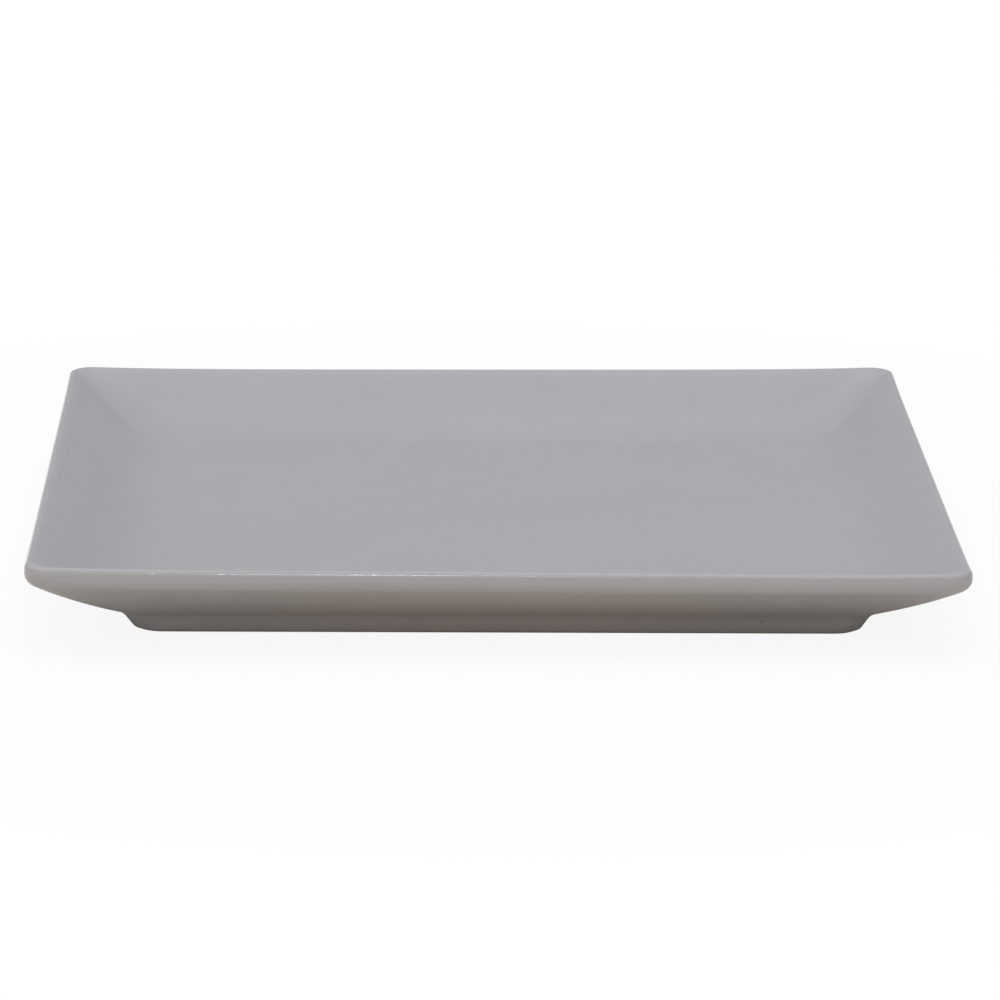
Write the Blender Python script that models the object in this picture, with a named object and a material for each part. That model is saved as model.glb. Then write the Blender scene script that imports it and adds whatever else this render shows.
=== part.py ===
"""A square stoneware dessert plate: a fired clay body under two coats of glaze.

Metres, +Z up. The origin is the middle of the foot, on the table. The plate is a stack of
rounded-square rings. A section lists them from the middle of the well out over the lip, down to
the foot and in to the middle of the base. Each ring has an inset from the rim's outermost edge,
a height and a plan corner radius.
"""
from collections import namedtuple
from math import acos, atan2, cos, hypot, pi, radians, sin, tan

import bmesh
import bpy

# Plan
PLATE_LENGTH = 0.200
PLATE_WIDTH = 0.200
RIM_CORNER = 0.0053
WELL_CORNER = 0.022
FOOT_CORNER = 0.0055
RECESS_CORNER = 0.004

# Lip, over the finished glaze
RIM_HEIGHT = 0.01875
CORNER_LIFT = 0.0008
LIFT_POWER = 6
LIP_HEIGHT = 0.0046
LIP_ROUND = 0.00115
UNDER_ROUND = 0.0032

# Wall and well, over the finished glaze
WALL_ANGLE = radians(32.4)
WALL_RADIUS = 0.170
WELL_SLOPE = radians(31.5)
WELL_RADIUS = 0.036
FLOOR_THICKNESS = 0.0042

# Foot
FOOT_HEIGHT = 0.0045
FOOT_TAPER = radians(31)
FOOT_RING_WIDTH = 0.0048
FOOT_EDGE_RADIUS = 0.0006
FOOT_FILLET = 0.006
BARE_BAND = 0.0006
GLAZED_BAND = 0.0018
BASE_FILLET = 0.001

# Glaze
GLAZE_THICKNESS = 0.0004
SEAT_GAP = 0.0003

# Facets
CORNER_STEPS = 5
SIDE_STEPS = 6
WALL_STEPS = 4
WELL_STEPS = 6
FILLET_STEPS = 4
SHARP_ANGLE = radians(35)

# Colours, linear
GLAZE_COLOUR = (0.41, 0.40, 0.43, 1.0)
CLAY_COLOUR = (0.46, 0.39, 0.31, 1.0)
GLAZE_ROUGHNESS = 0.25
CLAY_ROUGHNESS = 0.85

# Derived from the values above
RECESS_HEIGHT = BARE_BAND + GLAZED_BAND
FLOOR_HEIGHT = RECESS_HEIGHT + FLOOR_THICKNESS
CLAY_DEPTH = GLAZE_THICKNESS + SEAT_GAP

Ring = namedtuple("Ring", "inset height corner")


def clear_scene():
    for thing in list(bpy.data.objects):
        bpy.data.objects.remove(thing, do_unlink=True)


def make_material(name, colour, roughness):
    material = bpy.data.materials.new(name)
    material.use_nodes = True
    shader = material.node_tree.nodes["Principled BSDF"]
    shader.inputs["Base Color"].default_value = colour
    shader.inputs["Roughness"].default_value = roughness
    shader.inputs["Metallic"].default_value = 0.0
    material.diffuse_color = colour
    return material


def arc(centre, radius, start, end, steps):
    """Points along an arc, both ends included, as (inset, height)."""
    angles = [start + (end - start) * step / steps for step in range(steps + 1)]
    return [(centre[0] + radius * cos(a), centre[1] + radius * sin(a)) for a in angles]


def round_corner(before, corner, after, radius):
    """The arc that rounds a corner between two straight runs."""
    into = atan2(corner[1] - before[1], corner[0] - before[0])
    out = atan2(after[1] - corner[1], after[0] - corner[0])
    turn = (out - into + pi) % (2 * pi) - pi
    side = 1 if turn > 0 else -1
    start = (corner[0] - radius * tan(abs(turn) / 2) * cos(into),
             corner[1] - radius * tan(abs(turn) / 2) * sin(into))
    centre = (start[0] - side * radius * sin(into), start[1] + side * radius * cos(into))
    first = into - side * pi / 2
    return arc(centre, radius, first, first + turn, FILLET_STEPS)


def with_corners(points, first, last):
    """Rings through the points, with corner radii that go evenly from first to last along them."""
    runs = [hypot(b[0] - a[0], b[1] - a[1]) for a, b in zip(points, points[1:])]
    return [Ring(p[0], p[1], first + (last - first) * sum(runs[:i]) / sum(runs))
            for i, p in enumerate(points)]


def lip_corners():
    """The outer top of the lip and the bottom of its side, before rounding."""
    top = RIM_HEIGHT + LIP_ROUND * (tan(WELL_SLOPE) + 1 / cos(WELL_SLOPE) - 1)
    return (0.0, top), (0.0, top - LIP_HEIGHT)


def well_cove():
    """The cove from the floor's edge up to the straight slope under the lip."""
    top = lip_corners()[0]
    height = FLOOR_HEIGHT + WELL_RADIUS * (1 - cos(WELL_SLOPE))
    inset = (top[1] - height) / tan(WELL_SLOPE)
    centre = (inset + WELL_RADIUS * sin(WELL_SLOPE), FLOOR_HEIGHT + WELL_RADIUS)
    return arc(centre, WELL_RADIUS, -pi / 2, -pi / 2 - WELL_SLOPE, WELL_STEPS)


def outer_wall():
    """The bowed outer wall from the bottom of the lip's side down to the foot."""
    inset, height = lip_corners()[1]
    centre = (inset + WALL_RADIUS * sin(WALL_ANGLE), height + WALL_RADIUS * cos(WALL_ANGLE))
    foot_turn = acos((centre[1] - FOOT_HEIGHT) / WALL_RADIUS)
    return arc(centre, WALL_RADIUS, -pi / 2 - WALL_ANGLE, -pi / 2 - foot_turn, WALL_STEPS)


def foot_side():
    """Where the outer wall meets the foot, and where the foot's glazed side would meet the table."""
    top = outer_wall()[-1]
    return top, (top[0] + top[1] * tan(FOOT_TAPER), 0.0)


def face_section(past_edge):
    """The glazed face from the floor's edge over the lip to the glaze's edge on the foot.

    The last ring lies past_edge further down the foot than the glaze does.
    """
    outer_top, under = lip_corners()
    cove = well_cove()
    wall = outer_wall()
    lip = round_corner(cove[-1], outer_top, under, LIP_ROUND)
    lip += round_corner(outer_top, under, wall[1], UNDER_ROUND)
    top, bottom = foot_side()
    fillet = round_corner(wall[-2], top, bottom, FOOT_FILLET)
    edge_height = BARE_BAND - past_edge * cos(FOOT_TAPER)
    edge = (bottom[0] - edge_height * tan(FOOT_TAPER), edge_height)

    rings = with_corners(cove + lip[:1], WELL_CORNER, RIM_CORNER)
    rings += with_corners(lip[1:], RIM_CORNER, RIM_CORNER)
    rings += with_corners(wall[1:-1] + fillet + [edge], RIM_CORNER, FOOT_CORNER)
    return rings


def ring_section():
    """The bare clay of the foot ring, from the outer side over the standing face to the inner side."""
    _, bottom = foot_side()
    shift = GLAZE_THICKNESS / cos(FOOT_TAPER)
    outer = (bottom[0] + shift, 0.0)
    inner = (outer[0] + FOOT_RING_WIDTH, 0.0)
    rise = BARE_BAND - SEAT_GAP * cos(FOOT_TAPER) + GLAZE_THICKNESS * sin(FOOT_TAPER)
    above_outer = (outer[0] - rise * tan(FOOT_TAPER), rise)
    above_inner = (inner[0] + rise * tan(FOOT_TAPER), rise)
    outline = [above_outer]
    outline += round_corner(above_outer, outer, inner, FOOT_EDGE_RADIUS)
    outline += round_corner(outer, inner, above_inner, FOOT_EDGE_RADIUS)
    outline += [above_inner]
    return with_corners(outline, FOOT_CORNER, RECESS_CORNER)


def base_section(past_edge):
    """The glazed base from the glaze's edge inside the foot ring to the edge of the flat base."""
    _, bottom = foot_side()
    shift = GLAZE_THICKNESS / cos(FOOT_TAPER)
    foot = (bottom[0] + FOOT_RING_WIDTH + 2 * shift, 0.0)
    edge_height = BARE_BAND - past_edge * cos(FOOT_TAPER)
    edge = (foot[0] + edge_height * tan(FOOT_TAPER), edge_height)
    corner = (foot[0] + RECESS_HEIGHT * tan(FOOT_TAPER), RECESS_HEIGHT)
    middle = (PLATE_LENGTH / 2, RECESS_HEIGHT)
    outline = [edge] + round_corner(edge, corner, middle, BASE_FILLET)
    return with_corners(outline, RECESS_CORNER, RECESS_CORNER)


def sink(section, depth, before=None, after=None):
    """The section moved depth into the plate, with its runs kept parallel.

    before and after give the direction of the flat that a section starts from or ends on.
    """
    runs = [(b.inset - a.inset, b.height - a.height) for a, b in zip(section, section[1:])]
    runs = [before or runs[0]] + runs + [after or runs[-1]]
    normals = [(run[1] / hypot(*run), -run[0] / hypot(*run)) for run in runs]
    sunk = []
    for ring, one, two in zip(section, normals, normals[1:]):
        scale = depth / (1 + one[0] * two[0] + one[1] * two[1])
        move = scale * (one[0] + two[0])
        drop = scale * (one[1] + two[1])
        sunk.append(Ring(ring.inset - move, ring.height - drop, ring.corner + move))
    return sunk


def lift(x, y, height):
    """How far the rim's corners rise above the middle of its sides."""
    along = abs(2 * x / PLATE_LENGTH) * abs(2 * y / PLATE_WIDTH)
    share = (height - FLOOR_HEIGHT) / (RIM_HEIGHT - FLOOR_HEIGHT)
    return CORNER_LIFT * along ** LIFT_POWER * min(1.0, max(0.0, share))


def ring_points(ring):
    """Points round a rounded square, closer together towards its corners."""
    reach_x = PLATE_LENGTH / 2 - ring.inset - ring.corner
    reach_y = PLATE_WIDTH / 2 - ring.inset - ring.corner
    corners = []
    for quarter, (sx, sy) in enumerate(((1, 1), (-1, 1), (-1, -1), (1, -1))):
        start = quarter * pi / 2
        corners.append(arc((sx * reach_x, sy * reach_y), ring.corner, start, start + pi / 2, CORNER_STEPS))
    points = []
    for here, following in zip(corners, corners[1:] + corners[:1]):
        points += here
        for step in range(1, SIDE_STEPS):
            share = (1 - cos(pi * step / SIDE_STEPS)) / 2
            points.append(tuple(a + (b - a) * share for a, b in zip(here[-1], following[0])))
    return [(x, y, ring.height + lift(x, y, ring.height)) for x, y in points]


def first_ring(bm, ring, station):
    """A closed loop of edges round the ring, with its points numbered."""
    verts = [bm.verts.new(point) for point in ring_points(ring)]
    for number, vert in enumerate(verts):
        vert[station] = number
    return [bm.edges.new(pair) for pair in zip(verts, verts[1:] + verts[:1])]


def next_ring(bm, loop, ring, station):
    """Extrudes a loop and moves each new point to its numbered place on the next ring."""
    grown = bmesh.ops.extrude_edge_only(bm, edges=loop)["geom"]
    verts = {item for item in grown if isinstance(item, bmesh.types.BMVert)}
    points = ring_points(ring)
    for vert in verts:
        vert.co = points[vert[station]]
    edges = [item for item in grown if isinstance(item, bmesh.types.BMEdge)]
    return [edge for edge in edges if verts.issuperset(edge.verts)]


def make_piece(name, section, material):
    """One closed solid through the rings of a section, capped flat at both ends."""
    bm = bmesh.new()
    station = bm.verts.layers.int.new("station")
    start = first_ring(bm, section[0], station)
    end = start
    for ring in section[1:]:
        end = next_ring(bm, end, ring, station)
    for loop in (start, end):
        bmesh.ops.contextual_create(bm, geom=loop)
    bmesh.ops.recalc_face_normals(bm, faces=bm.faces)
    mesh = bpy.data.meshes.new(name)
    bm.to_mesh(mesh)
    bm.free()
    mesh.materials.append(material)
    mesh.shade_smooth()
    mesh.set_sharp_from_angle(angle=SHARP_ANGLE)
    piece = bpy.data.objects.new(name, mesh)
    bpy.context.scene.collection.objects.link(piece)
    return piece


def make_plate():
    outwards = (-1.0, 0.0)
    inwards = (1.0, 0.0)
    glaze = make_material("glaze", GLAZE_COLOUR, GLAZE_ROUGHNESS)
    clay = make_material("clay", CLAY_COLOUR, CLAY_ROUGHNESS)

    face = face_section(0.0)
    face_back = sink(face, GLAZE_THICKNESS, before=outwards)
    make_piece("face_glaze", face + face_back[::-1], glaze)

    base = base_section(0.0)
    base_back = sink(base, GLAZE_THICKNESS, after=inwards)
    make_piece("base_glaze", base[::-1] + base_back, glaze)

    clay_face = sink(face_section(SEAT_GAP), CLAY_DEPTH, before=outwards)
    clay_base = sink(base_section(SEAT_GAP), CLAY_DEPTH, after=inwards)
    make_piece("clay_body", clay_face + ring_section() + clay_base, clay)


clear_scene()
make_plate()
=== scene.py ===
"""The looks of a square stoneware dessert plate: two coats of grey glaze on a fired clay body.

Metres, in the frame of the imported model. The plate is a stack of rounded-square rings, listed by a
section that runs from the middle of the well over the lip to the foot and the middle of the base.
"""
from collections import namedtuple
from math import acos, atan2, cos, hypot, pi, radians, sin, tan

import bmesh
import bpy
from mathutils import Matrix, Vector, noise


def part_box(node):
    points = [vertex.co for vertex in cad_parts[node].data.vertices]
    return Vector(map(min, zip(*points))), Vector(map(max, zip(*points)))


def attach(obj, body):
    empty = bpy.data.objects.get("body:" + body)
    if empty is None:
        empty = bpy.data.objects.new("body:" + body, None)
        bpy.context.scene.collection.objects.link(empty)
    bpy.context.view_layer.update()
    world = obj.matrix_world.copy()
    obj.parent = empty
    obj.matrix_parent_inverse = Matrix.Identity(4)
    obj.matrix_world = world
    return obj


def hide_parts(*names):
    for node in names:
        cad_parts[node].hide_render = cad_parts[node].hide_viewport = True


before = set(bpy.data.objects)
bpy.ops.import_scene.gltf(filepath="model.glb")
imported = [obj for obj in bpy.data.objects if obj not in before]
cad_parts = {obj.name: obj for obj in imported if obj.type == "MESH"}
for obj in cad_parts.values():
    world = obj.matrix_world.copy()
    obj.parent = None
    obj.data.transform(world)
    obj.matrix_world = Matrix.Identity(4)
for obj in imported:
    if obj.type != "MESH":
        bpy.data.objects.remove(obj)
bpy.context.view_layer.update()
HALF_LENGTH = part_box("face_glaze")[1].x
HALF_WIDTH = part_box("face_glaze")[1].y

# Plan corner radii
RIM_CORNER = 0.0053
WELL_CORNER = 0.022
FOOT_CORNER = 0.0055
RECESS_CORNER = 0.004
MIDDLE_CORNER = 0.002

# Lip, over the finished glaze
RIM_HEIGHT = 0.01875
LIP_HEIGHT = 0.0046
LIP_ROUND = 0.00115
UNDER_ROUND = 0.0032

# Wall and well, over the finished glaze
WALL_ANGLE = radians(32.4)
WALL_RADIUS = 0.170
WELL_SLOPE = radians(31.5)
WELL_RADIUS = 0.036
FLOOR_THICKNESS = 0.0042
FLOOR_SAG = 0.00015

# Foot
FOOT_HEIGHT = 0.0045
FOOT_TAPER = radians(31)
FOOT_RING_WIDTH = 0.0048
FOOT_EDGE_RADIUS = 0.0006
FOOT_FILLET = 0.006
BARE_BAND = 0.0006
GLAZED_BAND = 0.0018
BASE_FILLET = 0.001

# Glaze, and how deep the clay lies under its surface
GLAZE_THICKNESS = 0.0004
CLAY_DEPTH = 0.00042

# Warp from the kiln: at the corners and edges of the rim, and a shifted foot
CORNER_LIFT = 0.0008
LIFT_POWER = 6
RIM_TWIST = 0.00039
FRONT_ARCH = 0.00030
BACK_SAG = 0.00005
EDGE_POWER = 4
RIM_WAVE_HEIGHT = 0.00004
RIM_WAVES_PER_METRE = 22
FOOT_SHIFT = 0.00037

# Fineness of the mesh
CORNER_STEPS = 12
SIDE_STEPS = 44
WALL_STEPS = 16
WELL_STEPS = 16
SLOPE_STEPS = 8
FILLET_STEPS = 8
FLOOR_STEPS = 9
BEAD_STEPS = 6
SMALLEST_RING = 0.006

# Glaze looks: linear colours, and noise and specks per metre
GLAZE_COLOUR = (0.418, 0.412, 0.447, 1.0)
# The lip's lighter colour: thinner glaze there, and partly a painted highlight on the top of the lip
GLAZE_THIN_AND_HIGHLIGHT_COLOUR = (0.460, 0.454, 0.482, 1.0)
GLAZE_CLOUD = {"Slow Per Metre": 20.0, "Fine Per Metre": 160.0, "Depth": 0.07}
GLAZE_ROUGHNESS = 0.34
GLAZE_IOR = 1.5
# How far down from the rim the lip's colour lightens, and by how much: thin glaze and painted highlight
LIP_THIN_AND_HIGHLIGHT_OVER = 0.0032
LIP_THIN_AND_HIGHLIGHT_BY = 0.3
LIP_EDGE_FROM = 0.0016
LIP_EDGE_TO = 0.0006
LIP_ROUGHNESS = 0.12
PEEL = {"Slow Per Metre": 180.0, "Fine Per Metre": 420.0, "Depth": 1.0}
PEEL_DEPTH = 0.0001
PEEL_BELOW_LIP = 0.03
PEEL_ON_LIP = 0.5
PINHOLES = {"Per Metre": 70.0, "Size": 0.018}
PINHOLE_COLOUR = (0.10, 0.09, 0.08, 1.0)
FOOT_PINHOLE = (0.0568, -0.0800, 0.0034)
FOOT_PINHOLE_RADIUS = 0.0005

# Clay looks: linear colours, and noise and specks per metre
CLAY_COLOUR = (0.50, 0.43, 0.35, 1.0)
CLAY_CLOUD = {"Slow Per Metre": 60.0, "Fine Per Metre": 700.0, "Depth": 0.35}
CLAY_ROUGHNESS = 0.85
GROG = {"Per Metre": 600.0, "Size": 0.16}
GROG_COLOUR = (0.24, 0.19, 0.14, 1.0)
GRAIN = {"Slow Per Metre": 900.0, "Fine Per Metre": 2600.0, "Depth": 1.0}
GRAIN_DEPTH = 0.00015
GRAIN_STRENGTH = 0.6

# The two noises of a cloudy finish
SLOW_NOISE = {"Detail": 2.0, "Roughness": 0.5}
FINE_NOISE = {"Detail": 4.0, "Roughness": 0.6}

# Studio floor, with distances from the middle of the plate
STUDIO_FLOOR_SIZE = 6.0
STUDIO_FLOOR_CELLS = 8
STUDIO_FLOOR_COLOUR = (0.95, 0.95, 0.95, 1.0)
BOUNCE_NEAR_COLOUR = (0.84, 0.66, 0.49, 1.0)
BOUNCE_FAR_COLOUR = (0.76, 0.69, 0.58, 1.0)
BOUNCE_FROM = 0.08
BOUNCE_TO = 0.115
SHADOW_TO = 0.12
WHITE_FROM = 0.26
SHADOW_LIFT = 0.9

# Directions in the sky: an axis, and where along it a glow starts and where it is full
TOWARDS_OVERHEAD = ("Z", 0.2, 1.0)
TOWARDS_TOP = ("Z", 0.7, 1.0)
TOWARDS_LEFT = ("X", 0.0, -1.0)
TOWARDS_BACK = ("Y", 0.0, 1.0)
TOWARDS_FRONT = ("Y", 0.0, -1.0)
TOWARDS_LOW = ("Z", 0.8, 0.2)

# Light from the sky and from a small lamp in front
SKY_COLOUR = (1.0, 1.0, 1.0, 1.0)
SKY_FRONT_COLOUR = (1.0, 0.99, 0.92, 1.0)
SKY_LEAST = 0.07
SKY_OVERHEAD = 0.66
SKY_TOP = 0.80
SKY_LEFT = 0.21
SKY_BACK = 0.38
SKY_FRONT = 0.74
LAMP_SIZE = 0.06
LAMP_PLACE = Vector((-0.022, -1.108, 0.806))
LAMP_AIM = Vector((0.0, 0.0, RIM_HEIGHT))
LAMP_POWER = 1.2

# Camera, from the photograph's perspective
CAMERA_AIM = Vector((0.00231, 0.0, 0.01031))
CAMERA_DISTANCE = 1.3036
CAMERA_PITCH = radians(13.790)
CAMERA_YAW = radians(-1.406)
CAMERA_ROLL = radians(-0.563)
CAMERA_LENS = 206.63
CAMERA_SENSOR = 36.0

RECESS_HEIGHT = BARE_BAND + GLAZED_BAND
FLOOR_HEIGHT = RECESS_HEIGHT + FLOOR_THICKNESS
OUTWARDS = (-1.0, 0.0)
INWARDS = (1.0, 0.0)

Ring = namedtuple("Ring", "inset height corner")


def arc(centre, radius, start, end, steps):
    """Points along an arc, both ends included, as (inset, height)."""
    angles = [start + (end - start) * step / steps for step in range(steps + 1)]
    return [(centre[0] + radius * cos(a), centre[1] + radius * sin(a)) for a in angles]


def round_corner(before, corner, after, radius):
    """The arc that rounds a corner between two straight runs."""
    into = atan2(corner[1] - before[1], corner[0] - before[0])
    out = atan2(after[1] - corner[1], after[0] - corner[0])
    turn = (out - into + pi) % (2 * pi) - pi
    side = 1 if turn > 0 else -1
    start = (corner[0] - radius * tan(abs(turn) / 2) * cos(into),
             corner[1] - radius * tan(abs(turn) / 2) * sin(into))
    centre = (start[0] - side * radius * sin(into), start[1] + side * radius * cos(into))
    first = into - side * pi / 2
    return arc(centre, radius, first, first + turn, FILLET_STEPS)


def between(start, end, steps):
    """Points along a straight run after its start, up to its end."""
    shares = [step / steps for step in range(1, steps + 1)]
    return [(start[0] + (end[0] - start[0]) * t, start[1] + (end[1] - start[1]) * t) for t in shares]


def with_corners(points, first, last):
    """Rings through the points, with corner radii that go evenly from first to last along them."""
    runs = [hypot(b[0] - a[0], b[1] - a[1]) for a, b in zip(points, points[1:])]
    length = sum(runs) or 1.0
    return [Ring(p[0], p[1], first + (last - first) * sum(runs[:i]) / length)
            for i, p in enumerate(points)]


def lip_corners():
    """The outer top of the lip and the bottom of its side, before rounding."""
    top = RIM_HEIGHT + LIP_ROUND * (tan(WELL_SLOPE) + 1 / cos(WELL_SLOPE) - 1)
    return (0.0, top), (0.0, top - LIP_HEIGHT)


def well_cove():
    """The cove from the floor's edge up to the straight slope under the lip."""
    top = lip_corners()[0]
    height = FLOOR_HEIGHT + WELL_RADIUS * (1 - cos(WELL_SLOPE))
    inset = (top[1] - height) / tan(WELL_SLOPE)
    centre = (inset + WELL_RADIUS * sin(WELL_SLOPE), FLOOR_HEIGHT + WELL_RADIUS)
    return arc(centre, WELL_RADIUS, -pi / 2, -pi / 2 - WELL_SLOPE, WELL_STEPS)


def outer_wall():
    """The bowed outer wall from the bottom of the lip's side down to the foot."""
    inset, height = lip_corners()[1]
    centre = (inset + WALL_RADIUS * sin(WALL_ANGLE), height + WALL_RADIUS * cos(WALL_ANGLE))
    foot_turn = acos((centre[1] - FOOT_HEIGHT) / WALL_RADIUS)
    return arc(centre, WALL_RADIUS, -pi / 2 - WALL_ANGLE, -pi / 2 - foot_turn, WALL_STEPS)


def foot_side():
    """Where the outer wall meets the foot, and where the foot's glazed side would meet the table."""
    top = outer_wall()[-1]
    return top, (top[0] + top[1] * tan(FOOT_TAPER), 0.0)


def face_section():
    """The glazed face from the floor's edge over the lip to the glaze's edge on the foot."""
    outer_top, under = lip_corners()
    cove = well_cove()
    wall = outer_wall()
    lip = round_corner(cove[-1], outer_top, under, LIP_ROUND)
    slope = between(cove[-1], lip[0], SLOPE_STEPS)
    lip += round_corner(outer_top, under, wall[1], UNDER_ROUND)

    top, bottom = foot_side()
    fillet = round_corner(wall[-2], top, bottom, FOOT_FILLET)
    kept = [point for point in wall if lip[-1][0] < point[0] < fillet[0][0]]
    edge = (bottom[0] - BARE_BAND * tan(FOOT_TAPER), BARE_BAND)
    side = between(fillet[-1], edge, SLOPE_STEPS)

    rings = with_corners(cove + slope, WELL_CORNER, RIM_CORNER)
    rings += with_corners(lip[1:], RIM_CORNER, RIM_CORNER)
    rings += with_corners(kept + fillet + side, RIM_CORNER, FOOT_CORNER)
    return rings


def base_section():
    """The glazed base from the glaze's edge inside the foot ring to the edge of the flat base."""
    _, bottom = foot_side()
    shift = GLAZE_THICKNESS / cos(FOOT_TAPER)
    foot = (bottom[0] + FOOT_RING_WIDTH + 2 * shift, 0.0)
    edge = (foot[0] + BARE_BAND * tan(FOOT_TAPER), BARE_BAND)
    corner = (foot[0] + RECESS_HEIGHT * tan(FOOT_TAPER), RECESS_HEIGHT)
    outline = [edge] + round_corner(edge, corner, (HALF_LENGTH, RECESS_HEIGHT), BASE_FILLET)
    return with_corners(outline, RECESS_CORNER, RECESS_CORNER)


def ring_section():
    """The bare clay of the foot ring, from the outer side over the standing face to the inner side."""
    _, bottom = foot_side()
    outer = (bottom[0] + GLAZE_THICKNESS / cos(FOOT_TAPER), 0.0)
    inner = (outer[0] + FOOT_RING_WIDTH, 0.0)
    above_outer = (outer[0] - BARE_BAND * tan(FOOT_TAPER), BARE_BAND)
    above_inner = (inner[0] + BARE_BAND * tan(FOOT_TAPER), BARE_BAND)
    outline = round_corner(above_outer, outer, inner, FOOT_EDGE_RADIUS)
    outline += round_corner(outer, inner, above_inner, FOOT_EDGE_RADIUS)
    return with_corners(outline, FOOT_CORNER, RECESS_CORNER)


def sink(section, depth, before=None, after=None):
    """The section moved depth into the plate, with its runs kept parallel.

    before and after give the direction of the flat that a section starts from or ends on.
    """
    runs = [(b.inset - a.inset, b.height - a.height) for a, b in zip(section, section[1:])]
    runs = [before or runs[0]] + runs + [after or runs[-1]]
    normals = [(run[1] / hypot(*run), -run[0] / hypot(*run)) for run in runs]
    sunk = []
    for ring, one, two in zip(section, normals, normals[1:]):
        scale = depth / (1 + one[0] * two[0] + one[1] * two[1])
        move = scale * (one[0] + two[0])
        drop = scale * (one[1] + two[1])
        sunk.append(Ring(ring.inset - move, ring.height - drop, ring.corner + move))
    return sunk


def bead(outside, inside):
    """The round edge of a coat of glaze, from its outside to its clay side."""
    middle = ((outside.inset + inside.inset) / 2, (outside.height + inside.height) / 2)
    radius = hypot(outside.inset - inside.inset, outside.height - inside.height) / 2
    start = atan2(outside.height - middle[1], outside.inset - middle[0])
    points = arc(middle, radius, start, start + pi, BEAD_STEPS)[1:-1]
    return with_corners(points, outside.corner, inside.corner)


def flat_to_middle(edge, sag):
    """Rings from the middle of a flat, which sags a little there, out towards its edge ring."""
    reach = HALF_LENGTH - SMALLEST_RING - edge.inset
    rings = []
    for step in range(FLOOR_STEPS):
        share = 1 - step / FLOOR_STEPS
        corner = edge.corner + (MIDDLE_CORNER - edge.corner) * share
        height = edge.height - sag * sin(share * pi / 2) ** 2
        rings.append(Ring(edge.inset + reach * share, height, corner))
    return rings


def ring_points(ring):
    """Points round a rounded square, closer together towards its corners."""
    reach_x = HALF_LENGTH - ring.inset - ring.corner
    reach_y = HALF_WIDTH - ring.inset - ring.corner
    corners = []
    for quarter, (sx, sy) in enumerate(((1, 1), (-1, 1), (-1, -1), (1, -1))):
        start = quarter * pi / 2
        corners.append(arc((sx * reach_x, sy * reach_y), ring.corner, start, start + pi / 2, CORNER_STEPS))
    points = []
    for here, following in zip(corners, corners[1:] + corners[:1]):
        points += here
        for step in range(1, SIDE_STEPS):
            share = (1 - cos(pi * step / SIDE_STEPS)) / 2
            points.append(tuple(a + (b - a) * share for a, b in zip(here[-1], following[0])))
    return [warp(x, y, ring.height) for x, y in points]


def warp(x, y, height):
    """Where a point of the true plate lies after the kiln. The flat floor and the foot stay level."""
    along = x / HALF_LENGTH
    across = y / HALF_WIDTH
    free = min(1.0, max(0.0, (height - FLOOR_HEIGHT) / (RIM_HEIGHT - FLOOR_HEIGHT)))
    rise = CORNER_LIFT * abs(along * across) ** LIFT_POWER
    rise += RIM_TWIST * along * across
    rise += FRONT_ARCH * (1 - along ** 2) * max(0.0, -across) ** EDGE_POWER
    rise -= BACK_SAG * (1 - along ** 2) * max(0.0, across) ** EDGE_POWER
    rise += RIM_WAVE_HEIGHT * noise.noise(Vector((x, y, 0.0)) * RIM_WAVES_PER_METRE)
    shift = FOOT_SHIFT * max(0.0, 1 - height / FLOOR_HEIGHT)
    return (x + shift, y, height + free * rise)


def first_ring(bm, ring, station):
    """A closed loop of edges round the ring, with its points numbered."""
    verts = [bm.verts.new(point) for point in ring_points(ring)]
    for number, vert in enumerate(verts):
        vert[station] = number
    return [bm.edges.new(pair) for pair in zip(verts, verts[1:] + verts[:1])]


def next_ring(bm, loop, ring, station):
    """Extrudes a loop and moves each new point to its numbered place on the next ring."""
    grown = bmesh.ops.extrude_edge_only(bm, edges=loop)["geom"]
    verts = {item for item in grown if isinstance(item, bmesh.types.BMVert)}
    points = ring_points(ring)
    for vert in verts:
        vert.co = points[vert[station]]
    edges = [item for item in grown if isinstance(item, bmesh.types.BMEdge)]
    return [edge for edge in edges if verts.issuperset(edge.verts)]


def make_piece(name, section, material, node):
    """One closed piece through the rings of a section, capped flat at both ends."""
    bm = bmesh.new()
    station = bm.verts.layers.int.new("station")
    start = first_ring(bm, section[0], station)
    end = start
    for ring in section[1:]:
        end = next_ring(bm, end, ring, station)
    for loop in (start, end):
        bmesh.ops.contextual_create(bm, geom=loop)
    bmesh.ops.recalc_face_normals(bm, faces=bm.faces)
    bm.verts.layers.int.remove(station)
    mesh = bpy.data.meshes.new(name)
    bm.to_mesh(mesh)
    bm.free()
    mesh.materials.append(material)
    mesh.shade_smooth()
    piece = bpy.data.objects.new(name, mesh)
    bpy.context.scene.collection.objects.link(piece)
    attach(piece, "root")
    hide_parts(node)


def put(tree, socket, value):
    """Feeds a socket from another socket, or sets it to a plain value."""
    if isinstance(value, bpy.types.NodeSocket):
        tree.links.new(value, socket)
    else:
        socket.default_value = value


def add_node(tree, kind, settings=None, values=None):
    """A shader node with its properties set and its inputs fed."""
    made = tree.nodes.new(kind)
    for name, value in (settings or {}).items():
        setattr(made, name, value)
    for name, value in (values or {}).items():
        put(tree, made.inputs[name], value)
    return made


def calculate(tree, operation, *values):
    """The result of one step of arithmetic on sockets and plain numbers."""
    return add_node(tree, "ShaderNodeMath", {"operation": operation}, dict(enumerate(values))).outputs[0]


def ramp(tree, value, start, end, first=0.0, last=1.0):
    """A smooth ramp over a value, from first where the value is start to last where it is end."""
    values = {"Value": value, "From Min": start, "From Max": end, "To Min": first, "To Max": last}
    made = add_node(tree, "ShaderNodeMapRange", {"interpolation_type": "SMOOTHSTEP"}, values)
    return made.outputs["Result"]


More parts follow.
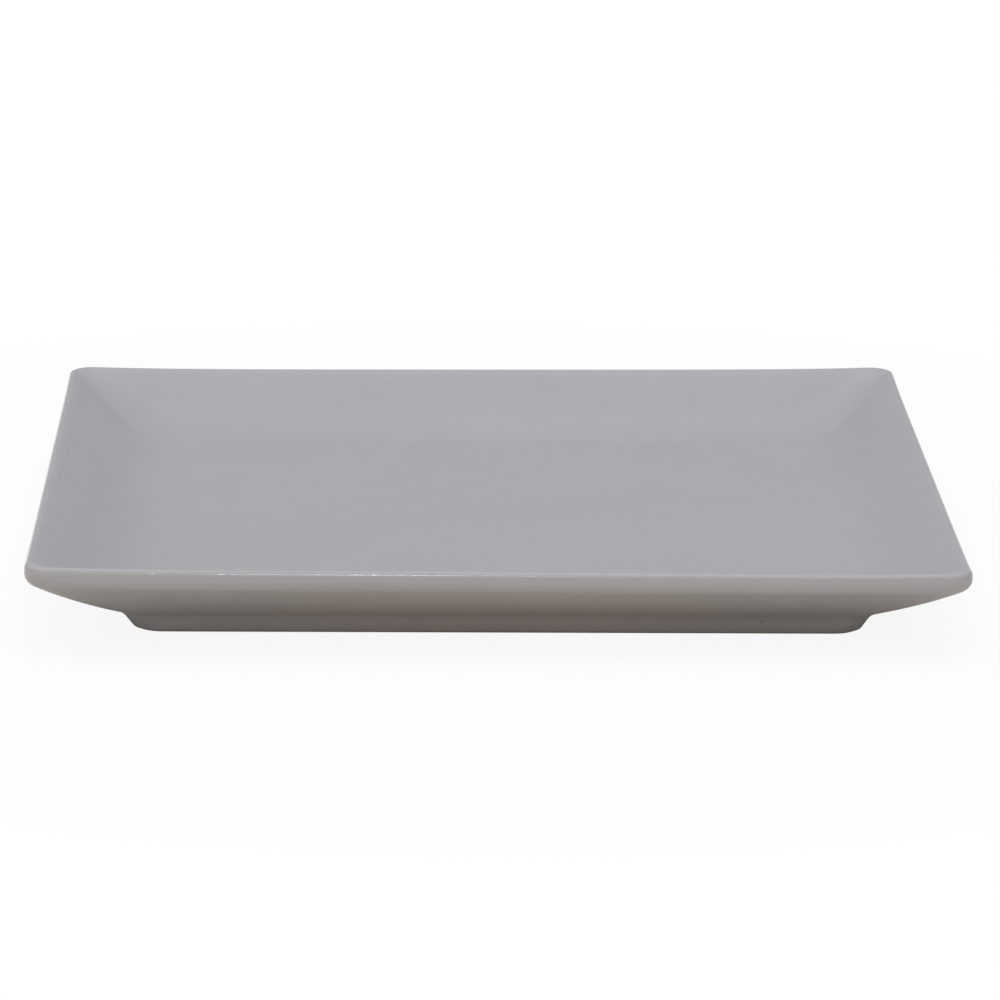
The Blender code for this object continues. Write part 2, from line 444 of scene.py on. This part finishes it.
def mix_colours(tree, factor, first, second):
    """A mix of two colours, each a socket or a plain value."""
    mixed = add_node(tree, "ShaderNodeMix", {"data_type": "RGBA"}, {"Factor": factor})
    colours = [socket for socket in mixed.inputs if socket.type == "RGBA"]
    for socket, colour in zip(colours, (first, second)):
        put(tree, socket, colour)
    return [socket for socket in mixed.outputs if socket.type == "RGBA"][0]


def mix_shaders(tree, factor, first, second):
    """The first shader where the factor is 0, and the second where it is 1."""
    return add_node(tree, "ShaderNodeMixShader", {}, {0: factor, 1: first, 2: second}).outputs[0]


def tint(tree, colour, value):
    """A colour made lighter or darker by a value round 1."""
    toned = add_node(tree, "ShaderNodeHueSaturation", {}, {"Color": colour, "Value": value})
    return toned.outputs["Color"]


def bend_normal(tree, height, depth, strength=1.0):
    """The normal of a surface with small heights on it."""
    values = {"Height": height, "Distance": depth, "Strength": strength}
    return add_node(tree, "ShaderNodeBump", {}, values).outputs["Normal"]


def new_group(name, inputs, output):
    """An empty shader node group with named inputs and one output."""
    group = bpy.data.node_groups.new(name, "ShaderNodeTree")
    for label, kind in inputs:
        group.interface.new_socket(label, in_out="INPUT", socket_type=kind)
    group.interface.new_socket(output, in_out="OUTPUT", socket_type="NodeSocketFloat")
    inlet = group.nodes.new("NodeGroupInput")
    outlet = group.nodes.new("NodeGroupOutput")
    return group, inlet.outputs, outlet.inputs[output]


def make_specks_group():
    """Sparse round specks, such as pinholes in glaze or grog in clay."""
    group, given, mask = new_group(
        "specks",
        [("Vector", "NodeSocketVector"), ("Per Metre", "NodeSocketFloat"), ("Size", "NodeSocketFloat")],
        "Mask")
    cells = add_node(group, "ShaderNodeTexVoronoi", {"feature": "F1"},
                     {"Vector": given["Vector"], "Scale": given["Per Metre"]})
    put(group, mask, ramp(group, cells.outputs["Distance"], 0.0, given["Size"], first=1.0, last=0.0))
    return group


def make_cloud_group():
    """A slow and a fine cloudiness round 1, for tone, roughness and small heights."""
    group, given, result = new_group(
        "cloud",
        [("Vector", "NodeSocketVector"), ("Slow Per Metre", "NodeSocketFloat"),
         ("Fine Per Metre", "NodeSocketFloat"), ("Depth", "NodeSocketFloat")],
        "Value")
    noises = []
    for rate, character in (("Slow Per Metre", SLOW_NOISE), ("Fine Per Metre", FINE_NOISE)):
        values = {"Vector": given["Vector"], "Scale": given[rate], **character}
        noises.append(add_node(group, "ShaderNodeTexNoise", {}, values).outputs["Fac"])
    centred = calculate(group, "SUBTRACT", calculate(group, "ADD", *noises), 1.0)
    put(group, result, calculate(group, "MULTIPLY_ADD", centred, given["Depth"], 1.0))
    return group


def place_group(tree, group, place, values):
    """The output of a node group, placed on coordinates with its own values."""
    made = add_node(tree, "ShaderNodeGroup", {"node_tree": group}, {"Vector": place, **values})
    return made.outputs[0]


def new_material(name):
    """A material with its Principled shader's inputs and Object coordinates."""
    material = bpy.data.materials.new(name)
    material.use_nodes = True
    tree = material.node_tree
    place = add_node(tree, "ShaderNodeTexCoord").outputs["Object"]
    return material, tree, tree.nodes["Principled BSDF"].inputs, place


def pinhole_mask(tree, specks, place):
    """Where the glaze has pinholes: a few scattered ones, and one on the front of the foot."""
    scattered = place_group(tree, specks, place, PINHOLES)
    measure = add_node(tree, "ShaderNodeVectorMath", {"operation": "DISTANCE"}, {0: place, 1: FOOT_PINHOLE})
    on_foot = ramp(tree, measure.outputs["Value"], 0.0, FOOT_PINHOLE_RADIUS, first=1.0, last=0.0)
    return calculate(tree, "MAXIMUM", scattered, on_foot)


def make_glaze(cloud, specks):
    """Cool grey satin glaze with a few pinholes: on the lip thinner and lighter, the lighter colour partly
    a painted highlight, and glossier and more uneven.
    """
    material, tree, shader, place = new_material("grey_glaze")
    pinholes = pinhole_mask(tree, specks, place)
    tone = place_group(tree, cloud, place, GLAZE_CLOUD)
    height = add_node(tree, "ShaderNodeSeparateXYZ", {}, {0: place}).outputs["Z"]
    lip_edge = (RIM_HEIGHT - LIP_EDGE_FROM, RIM_HEIGHT - LIP_EDGE_TO)

    # Lighter towards the top of the lip: thinner glaze, and partly a painted highlight
    thin_and_highlight = ramp(tree, height, RIM_HEIGHT - LIP_THIN_AND_HIGHLIGHT_OVER, RIM_HEIGHT, last=LIP_THIN_AND_HIGHLIGHT_BY)
    clouded = tint(tree, mix_colours(tree, thin_and_highlight, GLAZE_COLOUR, GLAZE_THIN_AND_HIGHLIGHT_COLOUR), tone)
    put(tree, shader["Base Color"], mix_colours(tree, pinholes, clouded, PINHOLE_COLOUR))

    satin = ramp(tree, height, *lip_edge, GLAZE_ROUGHNESS, LIP_ROUGHNESS)
    put(tree, shader["Roughness"], calculate(tree, "MULTIPLY", tone, satin))
    put(tree, shader["IOR"], GLAZE_IOR)

    unevenness = ramp(tree, height, *lip_edge, PEEL_BELOW_LIP, PEEL_ON_LIP)
    peel = calculate(tree, "MULTIPLY", place_group(tree, cloud, place, PEEL), unevenness)
    dented = calculate(tree, "SUBTRACT", peel, pinholes)
    put(tree, shader["Normal"], bend_normal(tree, dented, PEEL_DEPTH))
    return material


def make_clay(cloud, specks):
    """Bare fired stoneware: buff, gritty and matte, with dark grog."""
    material, tree, shader, place = new_material("bare_clay")
    grog = place_group(tree, specks, place, GROG)
    tone = place_group(tree, cloud, place, CLAY_CLOUD)
    grain = place_group(tree, cloud, place, GRAIN)
    put(tree, shader["Base Color"], tint(tree, mix_colours(tree, grog, CLAY_COLOUR, GROG_COLOUR), tone))
    put(tree, shader["Roughness"], CLAY_ROUGHNESS)
    put(tree, shader["Normal"], bend_normal(tree, grain, GRAIN_DEPTH, GRAIN_STRENGTH))
    return material


def make_plate():
    """The two coats of glaze and the clay body, each in the place of its CAD node."""
    cloud = make_cloud_group()
    specks = make_specks_group()
    glaze = make_glaze(cloud, specks)
    clay = make_clay(cloud, specks)

    face = face_section()
    face_back = sink(face, GLAZE_THICKNESS, before=OUTWARDS)
    coat = flat_to_middle(face[0], FLOOR_SAG) + face + bead(face[-1], face_back[-1]) + face_back[::-1]
    coat += flat_to_middle(face_back[0], FLOOR_SAG)[::-1]
    make_piece("glaze_on_face", coat, glaze, "face_glaze")

    base = base_section()
    base_back = sink(base, GLAZE_THICKNESS, after=INWARDS)
    rim = bead(base[0], base_back[0])
    make_piece("glaze_on_base", base[::-1] + rim + base_back, glaze, "base_glaze")

    clay_face = sink(face, CLAY_DEPTH, before=OUTWARDS)
    clay_base = sink(base, CLAY_DEPTH, after=INWARDS)
    body = flat_to_middle(clay_face[0], FLOOR_SAG) + clay_face + ring_section() + clay_base
    make_piece("clay_body_and_foot", body, clay, "clay_body")


def make_floor_material():
    """White wherever it is seen, down to a faint shadow round the plate, and a warm bounce under it."""
    material = bpy.data.materials.new("white_floor")
    material.use_nodes = True
    tree = material.node_tree
    tree.nodes.remove(tree.nodes["Principled BSDF"])
    path = add_node(tree, "ShaderNodeLightPath").outputs
    place = add_node(tree, "ShaderNodeTexCoord").outputs["Object"]
    measure = add_node(tree, "ShaderNodeVectorMath", {"operation": "LENGTH"}, {0: place})
    distance = measure.outputs["Value"]

    lifted = calculate(tree, "MULTIPLY", path["Is Camera Ray"], SHADOW_LIFT)
    whiteness = calculate(tree, "MAXIMUM", lifted, ramp(tree, distance, SHADOW_TO, WHITE_FROM))
    lit = add_node(tree, "ShaderNodeBsdfDiffuse", {}, {"Color": STUDIO_FLOOR_COLOUR})
    white = add_node(tree, "ShaderNodeEmission")
    view = mix_shaders(tree, whiteness, lit.outputs[0], white.outputs[0])

    warm = ramp(tree, distance, BOUNCE_FROM, BOUNCE_TO)
    bounced = mix_colours(tree, warm, BOUNCE_NEAR_COLOUR, BOUNCE_FAR_COLOUR)
    bounce = add_node(tree, "ShaderNodeBsdfDiffuse", {}, {"Color": bounced})

    seen = calculate(tree, "MAXIMUM", path["Is Camera Ray"], path["Is Glossy Ray"])
    seen = calculate(tree, "MAXIMUM", seen, path["Is Transmission Ray"])
    surface = mix_shaders(tree, seen, bounce.outputs[0], view)
    put(tree, tree.nodes["Material Output"].inputs["Surface"], surface)
    return material


def make_floor():
    """A wide flat floor under the foot's standing face."""
    bm = bmesh.new()
    bmesh.ops.create_grid(bm, x_segments=STUDIO_FLOOR_CELLS, y_segments=STUDIO_FLOOR_CELLS,
                          size=STUDIO_FLOOR_SIZE / 2)
    mesh = bpy.data.meshes.new("studio_floor")
    bm.to_mesh(mesh)
    bm.free()
    mesh.materials.append(make_floor_material())
    floor = bpy.data.objects.new("studio_floor", mesh)
    bpy.context.scene.collection.objects.link(floor)


def make_sky():
    """Soft light from all sides: brightest overhead, warm and low in front."""
    world = bpy.data.worlds.new("studio")
    world.use_nodes = True
    tree = world.node_tree
    tree.nodes.remove(tree.nodes["Background"])
    direction = add_node(tree, "ShaderNodeTexCoord").outputs["Generated"]
    axes = add_node(tree, "ShaderNodeSeparateXYZ", {}, {0: direction}).outputs
    least = add_node(tree, "ShaderNodeBackground", {}, {"Color": SKY_COLOUR, "Strength": SKY_LEAST})
    sky = least.outputs[0]
    for ways, colour, strength in (
            ((TOWARDS_OVERHEAD,), SKY_COLOUR, SKY_OVERHEAD),
            ((TOWARDS_TOP,), SKY_COLOUR, SKY_TOP),
            ((TOWARDS_LEFT,), SKY_COLOUR, SKY_LEFT),
            ((TOWARDS_BACK,), SKY_COLOUR, SKY_BACK),
            ((TOWARDS_FRONT, TOWARDS_LOW), SKY_FRONT_COLOUR, SKY_FRONT)):
        for axis, start, full in ways:
            strength = ramp(tree, axes[axis], start, full, last=strength)
        glow = add_node(tree, "ShaderNodeBackground", {}, {"Color": colour, "Strength": strength})
        sky = add_node(tree, "ShaderNodeAddShader", {}, {0: sky, 1: glow.outputs[0]}).outputs[0]
    put(tree, tree.nodes["World Output"].inputs["Surface"], sky)
    bpy.context.scene.world = world


def link_turned(name, data, place, right, up, back):
    """A new object at a place, facing away from its back."""
    made = bpy.data.objects.new(name, data)
    made.matrix_world = Matrix.Translation(place) @ Matrix((right, up, back)).transposed().to_4x4()
    bpy.context.scene.collection.objects.link(made)
    return made


def make_lamp():
    """A small square lamp in front, turned to the rim."""
    light = bpy.data.lights.new("front_lamp", "AREA")
    light.size = LAMP_SIZE
    light.energy = LAMP_POWER
    back = (LAMP_PLACE - LAMP_AIM).normalized()
    right = Vector((0.0, 0.0, 1.0)).cross(back).normalized()
    link_turned("front_lamp", light, LAMP_PLACE, right, back.cross(right), back)


def make_camera():
    """A long lens in front, a little above the plate."""
    data = bpy.data.cameras.new("camera")
    data.sensor_width = CAMERA_SENSOR
    data.lens = CAMERA_LENS
    level = cos(CAMERA_PITCH)
    back = Vector((sin(CAMERA_YAW) * level, -cos(CAMERA_YAW) * level, sin(CAMERA_PITCH)))
    right = Vector((cos(CAMERA_YAW), sin(CAMERA_YAW), 0.0))
    up = back.cross(right)
    turned_right = right * cos(CAMERA_ROLL) - up * sin(CAMERA_ROLL)
    turned_up = right * sin(CAMERA_ROLL) + up * cos(CAMERA_ROLL)
    place = CAMERA_AIM + back * CAMERA_DISTANCE
    bpy.context.scene.camera = link_turned("camera", data, place, turned_right, turned_up, back)


make_plate()
make_floor()
make_sky()
make_lamp()
make_camera()
bpy.context.scene.view_settings.view_transform = "Standard"
